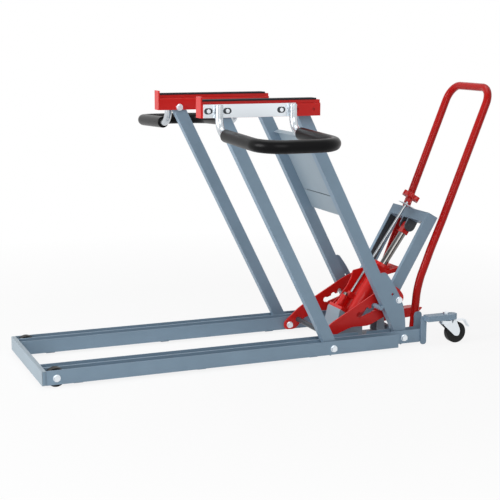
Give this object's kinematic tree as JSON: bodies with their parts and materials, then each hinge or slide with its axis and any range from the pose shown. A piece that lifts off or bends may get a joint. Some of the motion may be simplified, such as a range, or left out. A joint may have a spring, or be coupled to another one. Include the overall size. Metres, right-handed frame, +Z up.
{
  "type": "lawn mower lift",
  "caption": "Low wheeled frame whose leaning arms raise two level rails with padded wheel loops, moved by a foot-pumped jack and held by notched plates.",
  "frame": {"origin": "on the floor, at the centre of the bounding box in X and Y", "axes": "+X towards the push handle, +Y to the right hand of a person at the handle, +Z up"},
  "size_m": [1.6524, 1.2384, 0.8957],
  "materials": {
    "chrome": "polished",
    "dark_steel": "satin",
    "foam": "matt foam",
    "pad_rubber": "matt",
    "pale_steel": "satin",
    "red_paint": "gloss",
    "steel_blue": "satin",
    "tyre": "matt",
    "zinc": "zinc plated, satin"
  },
  "bodies": {
    "base": {"rail_outer_left": "steel_blue", "rail_outer_right": "steel_blue", "rail_inner_left": "steel_blue", "rail_inner_right": "steel_blue", "front_bar": "pale_steel", "cross_tube_rear": "steel_blue", "roller_axle_left": "zinc", "roller_axle_right": "zinc", "front_pivot_pin_left": "zinc", "front_pivot_pin_right": "zinc", "rear_pivot_pin_left": "zinc", "rear_pivot_pin_right": "zinc", "jack_seat": "pale_steel", "jack_base": "red_paint", "jack_body": "red_paint", "jack_collar": "red_paint", "pump_cylinder": "red_paint", "push_handle": "red_paint", "caster_arm_left": "steel_blue", "caster_arm_right": "steel_blue"},
    "rear_arms": {"rear_arm_left": "steel_blue", "rear_arm_right": "steel_blue", "cross_plate": "pale_steel", "portal_pin_left": "zinc", "portal_pin_right": "zinc"},
    "front_arm_l": {"front_arm_left": "steel_blue"},
    "front_arm_r": {"front_arm_right": "steel_blue"},
    "lock_plates": {"lock_plate_left": "red_paint", "lock_plate_right": "red_paint", "lock_tie": "dark_steel"},
    "ram": {"jack_ram": "chrome", "ram_clevis": "red_paint"},
    "portal_frame": {"portal": "steel_blue", "rod_tab": "zinc"},
    "plunger": {"pump_plunger": "chrome"},
    "pedal": {"foot_pedal": "red_paint"},
    "release": {"release_rod": "chrome", "release_knob": "red_paint"},
    "platform_l": {"platform_rail_left": "red_paint", "platform_pad_left": "pad_rubber", "loop_strip_left": "zinc", "wheel_loop_left": "zinc", "loop_foam_left": "foam", "platform_pin_front_left": "zinc", "platform_pin_rear_left": "zinc"},
    "roller_l": {"roller_left": "tyre"},
    "caster_fork_l": {"caster_fork_left": "zinc"},
    "caster_wheel_l": {"caster_wheel_left": "tyre"},
    "brake_l": {"brake_lever_left": "dark_steel"},
    "platform_r": {"platform_rail_right": "red_paint", "platform_pad_right": "pad_rubber", "loop_strip_right": "zinc", "wheel_loop_right": "zinc", "loop_foam_right": "foam", "platform_pin_front_right": "zinc", "platform_pin_rear_right": "zinc"},
    "roller_r": {"roller_right": "tyre"},
    "caster_fork_r": {"caster_fork_right": "zinc"},
    "caster_wheel_r": {"caster_wheel_right": "tyre"},
    "brake_r": {"brake_lever_right": "dark_steel"}
  },
  "joints": [
    {"name": "lift_arms", "type": "hinge", "parent": "base", "child": "rear_arms", "pos_m": [0.4543, 0, 0.03], "axis": [0, -1, 0], "range_deg": [0, 55]},
    {"name": "front_arm_l", "type": "hinge", "parent": "base", "child": "front_arm_l", "pos_m": [0.1622, -0.21, 0.03], "axis": [0, -1, 0], "range_deg": [-1, 56]},
    {"name": "platform_level_l", "type": "hinge", "parent": "rear_arms", "child": "platform_l", "pos_m": [0.05912, -0.168, 0.81812], "axis": [0, -1, 0], "range_deg": [-56, 1]},
    {"name": "front_arm_r", "type": "hinge", "parent": "base", "child": "front_arm_r", "pos_m": [0.1622, 0.21, 0.03], "axis": [0, -1, 0], "range_deg": [-1, 56]},
    {"name": "platform_level_r", "type": "hinge", "parent": "rear_arms", "child": "platform_r", "pos_m": [0.05912, 0.168, 0.81812], "axis": [0, -1, 0], "range_deg": [-56, 1]},
    {"name": "lock_swing", "type": "hinge", "parent": "base", "child": "lock_plates", "pos_m": [0.1622, 0, 0.03], "axis": [0, -1, 0], "range_deg": [-18, 1]},
    {"name": "ram_slide", "type": "slide", "parent": "base", "child": "ram", "axis": [0.5736, 0, 0.8191], "range_m": [-0.1173, 0.001]},
    {"name": "portal_swing", "type": "hinge", "parent": "ram", "child": "portal_frame", "pos_m": [0.5642, 0, 0.3913], "axis": [0, -1, 0], "range_deg": [-14, 1]},
    {"name": "pedal_press", "type": "hinge", "parent": "base", "child": "pedal", "pos_m": [0.4512, 0, 0.066], "axis": [0, 1, 0], "range_deg": [0, 12], "stiffness_Nm_per_rad": 20, "springref_deg": -6.88},
    {"name": "plunger_stroke", "type": "slide", "parent": "base", "child": "plunger", "axis": [0.5736, 0, 0.8191], "range_m": [-0.0125, 0.001]},
    {"name": "release_turn", "type": "hinge", "parent": "base", "child": "release", "pos_m": [0.52324, 0, 0.41998], "axis": [0.5736, 0, 0.8191], "range_deg": [0, 180]},
    {"name": "roller_spin_l", "type": "hinge", "parent": "base", "child": "roller_l", "pos_m": [-0.7798, -0.21, 0.03], "axis": [0, 1, 0], "continuous": true},
    {"name": "caster_swivel_l", "type": "hinge", "parent": "base", "child": "caster_fork_l", "pos_m": [0.6102, -0.205, 0.09], "axis": [0, 0, 1], "range_deg": [-155, 120]},
    {"name": "caster_spin_l", "type": "hinge", "parent": "caster_fork_l", "child": "caster_wheel_l", "pos_m": [0.6482, -0.205, 0.0375], "axis": [0, 1, 0], "continuous": true},
    {"name": "brake_press_l", "type": "hinge", "parent": "caster_fork_l", "child": "brake_l", "pos_m": [0.6377, -0.205, 0.0795], "axis": [0, 1, 0], "range_deg": [0, 5]},
    {"name": "roller_spin_r", "type": "hinge", "parent": "base", "child": "roller_r", "pos_m": [-0.7798, 0.21, 0.03], "axis": [0, 1, 0], "continuous": true},
    {"name": "caster_swivel_r", "type": "hinge", "parent": "base", "child": "caster_fork_r", "pos_m": [0.6102, 0.205, 0.09], "axis": [0, 0, 1], "range_deg": [-275, 5]},
    {"name": "caster_spin_r", "type": "hinge", "parent": "caster_fork_r", "child": "caster_wheel_r", "pos_m": [0.57576, 0.22106, 0.0375], "axis": [-0.4226, -0.9063, 0], "continuous": true},
    {"name": "brake_press_r", "type": "hinge", "parent": "caster_fork_r", "child": "brake_r", "pos_m": [0.58528, 0.21662, 0.0795], "axis": [-0.4226, -0.9063, 0], "range_deg": [0, 5]}
  ],
  "couplings": [
    {"joint": "front_arm_l", "follows": "lift_arms", "ratio": 1},
    {"joint": "front_arm_r", "follows": "lift_arms", "ratio": 1},
    {"joint": "lock_swing", "follows": "lift_arms", "ratio": -0.309},
    {"joint": "platform_level_l", "follows": "lift_arms", "ratio": -1},
    {"joint": "platform_level_r", "follows": "lift_arms", "ratio": -1},
    {"joint": "plunger_stroke", "follows": "pedal_press", "m_per_rad": -0.0573},
    {"joint": "portal_swing", "follows": "lift_arms", "ratio": -0.218},
    {"joint": "ram_slide", "follows": "lift_arms", "m_per_rad": -0.118}
  ]
}
